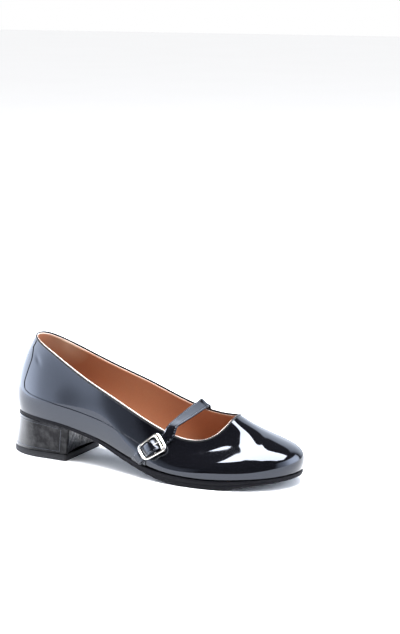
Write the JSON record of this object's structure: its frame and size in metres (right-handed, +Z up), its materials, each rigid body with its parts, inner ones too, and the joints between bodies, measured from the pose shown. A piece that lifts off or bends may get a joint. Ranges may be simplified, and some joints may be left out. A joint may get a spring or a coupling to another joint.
{
  "type": "mary jane shoe",
  "caption": "Right mary jane shoe in black patent leather: round toe, low block heel, tan lining and a narrow buckled strap over the instep.",
  "frame": {"origin": "middle of the shoe's box on the ground", "axes": "+X from heel to toe, +Y to the inner (medial) side, +Z up; the shoe stands on its heel and forefoot"},
  "size_m": [0.2498, 0.0854, 0.0946],
  "materials": {
    "patent_leather": "high-gloss black patent",
    "outsole": "thin matt black sole",
    "lining_leather": "smooth tan leather",
    "heel_rubber": "matt dark grey rubber",
    "buckle_metal": "polished pale metal"
  },
  "bodies": {
    "root": {"upper": "patent_leather", "outsole": "outsole", "insole": "lining_leather", "heel_block": "patent_leather", "heel_top_piece": "heel_rubber", "strap": "patent_leather", "anchor_strap": "patent_leather", "buckle_frame": "buckle_metal", "buckle_prong": "buckle_metal"}
  },
  "joints": []
}
